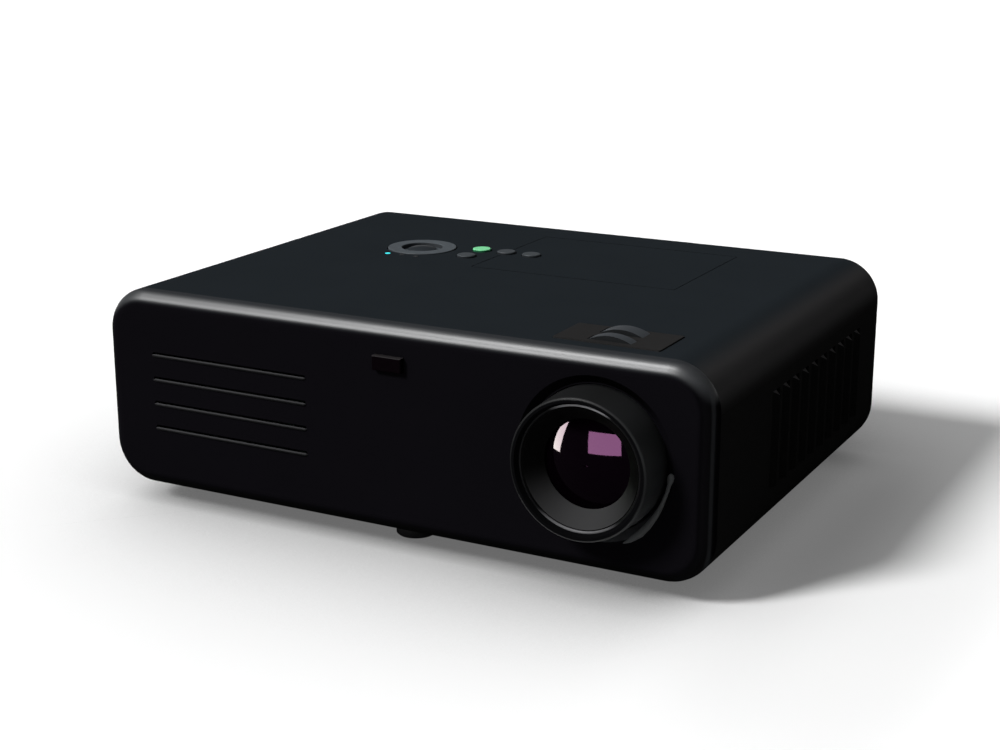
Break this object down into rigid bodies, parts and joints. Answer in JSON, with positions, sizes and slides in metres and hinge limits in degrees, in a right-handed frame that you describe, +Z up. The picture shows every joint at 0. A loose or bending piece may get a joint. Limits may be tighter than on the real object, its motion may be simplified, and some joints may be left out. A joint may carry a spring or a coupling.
{
  "type": "video_projector",
  "caption": "Desktop video projector with a dark rounded case, lens at one side of the front, two thumb wheels, round keys on top, side vents and a lift-off lamp cover.",
  "frame": {"origin": "On the table, at the middle of the plan of the whole machine with its lens barrel.", "axes": "X to the right seen from the front, Y from the lens side to the back, Z up."},
  "size_m": [0.2634, 0.2132, 0.0908],
  "materials": {
    "case_plastic": "fine satin texture",
    "panel_plastic": "smooth satin",
    "dark_plastic": "matte",
    "trim_plastic": "fine matte texture",
    "dark_red_window": "polished, see-through to infrared",
    "circuit_board": "board with soldered parts",
    "grey_keys": "satin",
    "dark_keys": "smooth satin",
    "green_key": "satin",
    "soft_rubber": "matte",
    "lit_blue": "clear, lit",
    "unlit_light": "clear, unlit",
    "barrel_plastic": "smooth semi-gloss",
    "ring_satin": "satin with a bright thin edge",
    "coated_glass": "anti-reflection coating",
    "wheel_plastic": "smooth satin rim",
    "brass_bush": "plain",
    "steel": "plated",
    "cast_alloy": "die-cast",
    "mirrored": "reflective coating",
    "black_aluminium": "black anodised",
    "lamp_plastic": "heat-resistant moulding",
    "clear_quartz": "clear",
    "socket_plastic": "moulded, plated shells",
    "speaker_paper": "paper cone",
    "foot_plastic": "matte"
  },
  "bodies": {
    "body": {"bottom_case": "case_plastic", "top_case": "case_plastic", "front_panel": "panel_plastic", "io_plate": "dark_plastic", "lens_adjust_plate": "trim_plastic", "ir_window": "dark_red_window", "ir_receiver": "circuit_board", "power_light": "lit_blue", "status_lights": "unlit_light", "keypad_board": "circuit_board", "lens_barrel": "barrel_plastic", "lens_tube": "dark_plastic", "wheel_shaft": "steel", "lens_mount": "cast_alloy", "inner_screws": "steel", "engine_housing": "cast_alloy", "engine_cover": "cast_alloy", "light_tunnel": "mirrored", "fold_mirror": "mirrored", "relay_optics": "coated_glass", "chip_board": "circuit_board", "chip_heatsink": "black_aluminium", "colour_wheel_motor": "steel", "lamp_housing": "lamp_plastic", "lamp_reflector": "mirrored", "arc_tube": "clear_quartz", "exhaust_fan_frame": "dark_plastic", "blower_housing": "dark_plastic", "main_board": "circuit_board", "power_supply": "circuit_board", "lamp_ballast": "circuit_board", "ac_inlet": "socket_plastic", "io_board": "circuit_board", "vga_sockets": "socket_plastic", "av_sockets": "socket_plastic", "speaker": "speaker_paper", "rear_feet": "soft_rubber", "case_screws": "steel", "ceiling_inserts": "brass_bush"},
    "lamp_cover": {"lamp_door": "case_plastic"},
    "navigator_tilt": {"nav_collar": "soft_rubber"},
    "navigator": {"nav_ring": "grey_keys"},
    "enter": {"enter_button": "dark_keys"},
    "menu": {"menu_key": "grey_keys"},
    "power": {"power_key": "green_key"},
    "source": {"source_key": "grey_keys"},
    "auto": {"auto_key": "grey_keys"},
    "focus_wheel_body": {"focus_wheel": "wheel_plastic"},
    "focus_ring_body": {"focus_ring": "dark_plastic"},
    "front_group": {"front_cell": "dark_plastic", "front_retainer": "ring_satin", "front_glass": "coated_glass"},
    "zoom_wheel_body": {"zoom_wheel": "wheel_plastic"},
    "zoom_ring_body": {"zoom_ring": "dark_plastic"},
    "zoom_group": {"zoom_cell": "dark_plastic", "zoom_glass": "coated_glass"},
    "foot": {"front_foot": "foot_plastic"},
    "exhaust_rotor": {"exhaust_fan_rotor": "dark_plastic"},
    "blower_rotor": {"blower_impeller": "dark_plastic"},
    "filter_wheel": {"colour_wheel": "coated_glass"}
  },
  "joints": [
    {"name": "lamp_door_lift", "type": "slide", "parent": "body", "child": "lamp_cover", "axis": [0, 0, 1], "range_m": [0, 0.06]},
    {"name": "navigator_front_back", "type": "hinge", "parent": "body", "child": "navigator_tilt", "pos_m": [-0.0562, 0.03245, 0.086], "axis": [1, 0, 0], "range_deg": [-2.2, 2.2], "stiffness_Nm_per_rad": 0.5},
    {"name": "navigator_left_right", "type": "hinge", "parent": "navigator_tilt", "child": "navigator", "pos_m": [-0.0562, 0.03245, 0.086], "axis": [0, 1, 0], "range_deg": [-2.2, 2.2], "stiffness_Nm_per_rad": 0.5},
    {"name": "enter_press", "type": "slide", "parent": "body", "child": "enter", "axis": [0, 0, -1], "range_m": [0, 0.0008], "stiffness_N_per_m": 1900},
    {"name": "menu_press", "type": "slide", "parent": "body", "child": "menu", "axis": [0, 0, -1], "range_m": [0, 0.0008], "stiffness_N_per_m": 1900},
    {"name": "power_press", "type": "slide", "parent": "body", "child": "power", "axis": [0, 0, -1], "range_m": [0, 0.0008], "stiffness_N_per_m": 1900},
    {"name": "source_press", "type": "slide", "parent": "body", "child": "source", "axis": [0, 0, -1], "range_m": [0, 0.0008], "stiffness_N_per_m": 1900},
    {"name": "auto_press", "type": "slide", "parent": "body", "child": "auto", "axis": [0, 0, -1], "range_m": [0, 0.0008], "stiffness_N_per_m": 1900},
    {"name": "focus_wheel_turn", "type": "hinge", "parent": "body", "child": "focus_wheel_body", "pos_m": [0.084, -0.074, 0.07301], "axis": [0, 1, 0], "range_deg": [-38.4, 38.4]},
    {"name": "focus_ring_turn", "type": "hinge", "parent": "body", "child": "focus_ring_body", "pos_m": [0.086, -0.0757, 0.0503], "axis": [0, 1, 0], "range_deg": [-19.2, 19.2]},
    {"name": "focus_slide", "type": "slide", "parent": "body", "child": "front_group", "axis": [0, -1, 0], "range_m": [-0.0009, 0.0009]},
    {"name": "zoom_wheel_turn", "type": "hinge", "parent": "body", "child": "zoom_wheel_body", "pos_m": [0.084, -0.063, 0.07301], "axis": [0, 1, 0], "range_deg": [-38.4, 38.4]},
    {"name": "zoom_ring_turn", "type": "hinge", "parent": "body", "child": "zoom_ring_body", "pos_m": [0.086, -0.0612, 0.0503], "axis": [0, 1, 0], "range_deg": [-19.2, 19.2]},
    {"name": "zoom_slide", "type": "slide", "parent": "body", "child": "zoom_group", "axis": [0, -1, 0], "range_m": [-0.002, 0.002]},
    {"name": "foot_extend", "type": "slide", "parent": "body", "child": "foot", "axis": [0, 0, -1], "range_m": [0, 0.018]},
    {"name": "exhaust_fan_spin", "type": "hinge", "parent": "body", "child": "exhaust_rotor", "pos_m": [-0.1178, 0.02, 0.0485], "axis": [1, 0, 0], "continuous": true},
    {"name": "blower_spin", "type": "hinge", "parent": "body", "child": "blower_rotor", "pos_m": [0.097, 0.047, 0.0285], "axis": [0, 0, 1], "continuous": true},
    {"name": "colour_wheel_spin", "type": "hinge", "parent": "body", "child": "filter_wheel", "pos_m": [0.0205, 0.0085, 0.0503], "axis": [0, 1, 0], "continuous": true}
  ],
  "couplings": [
    {"joint": "focus_wheel_turn", "follows": "focus_slide", "rad_per_m": 736.92},
    {"joint": "focus_ring_turn", "follows": "focus_slide", "rad_per_m": -368.46},
    {"joint": "zoom_wheel_turn", "follows": "zoom_slide", "rad_per_m": 331.61},
    {"joint": "zoom_ring_turn", "follows": "zoom_slide", "rad_per_m": -165.81}
  ]
}
